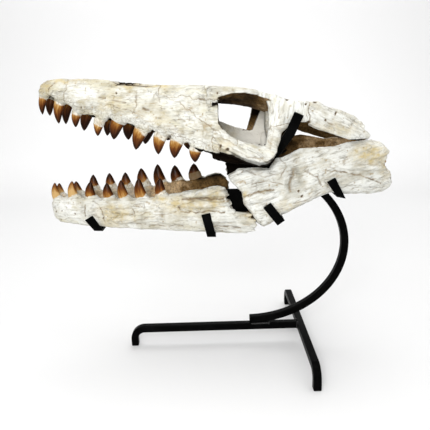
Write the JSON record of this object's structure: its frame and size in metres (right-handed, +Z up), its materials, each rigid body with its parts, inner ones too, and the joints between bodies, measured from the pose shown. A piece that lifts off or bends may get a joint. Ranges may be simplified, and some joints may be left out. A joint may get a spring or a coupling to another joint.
{
  "type": "mosasaur skull fossil on a stand",
  "caption": "Mosasaur skull fossil with open toothed jaws, clipped to a black steel stand with a curved upright, as a still museum display piece.",
  "frame": {"origin": "on the floor, at the middle of the object's bounding box seen from above", "axes": "+X along the skull from snout to rear, +Y towards the animal's right side, +Z up; the snout points to -X"},
  "size_m": [0.4149, 0.235, 0.3545],
  "materials": {
    "fossil_bone": "off-white mineralised bone with tan and brown stains, fine cracks and pits, matt",
    "toothed_bone": "off-white mineralised bone, with teeth of semi-gloss amber to dark brown enamel on pale roots",
    "black_steel": "satin black powder coat on bent and welded steel bar"
  },
  "bodies": {
    "root": {"premaxilla": "toothed_bone", "prefrontal_left": "fossil_bone", "prefrontal_right": "fossil_bone", "postorbital_left": "fossil_bone", "postorbital_right": "fossil_bone", "squamosal_left": "fossil_bone", "squamosal_right": "fossil_bone", "frontal": "fossil_bone", "parietal": "fossil_bone", "maxilla_left": "toothed_bone", "maxilla_right": "toothed_bone", "jugal_left": "fossil_bone", "jugal_right": "fossil_bone", "braincase": "fossil_bone", "dentary_left": "toothed_bone", "dentary_right": "toothed_bone", "rear_jaw_left": "fossil_bone", "rear_jaw_right": "fossil_bone", "stand_stem": "black_steel", "stand_cross_bar": "black_steel", "stand_arc": "black_steel", "stand_jaw_bar_left": "black_steel", "stand_jaw_bar_right": "black_steel", "stand_bridge": "black_steel", "stand_arm_left": "black_steel", "stand_arm_right": "black_steel", "stand_clip_left_1": "black_steel", "stand_clip_left_2": "black_steel", "stand_clip_left_3": "black_steel", "stand_clip_left_4": "black_steel", "stand_clip_right_1": "black_steel", "stand_clip_right_2": "black_steel", "stand_clip_right_3": "black_steel", "stand_clip_right_4": "black_steel"}
  },
  "joints": []
}
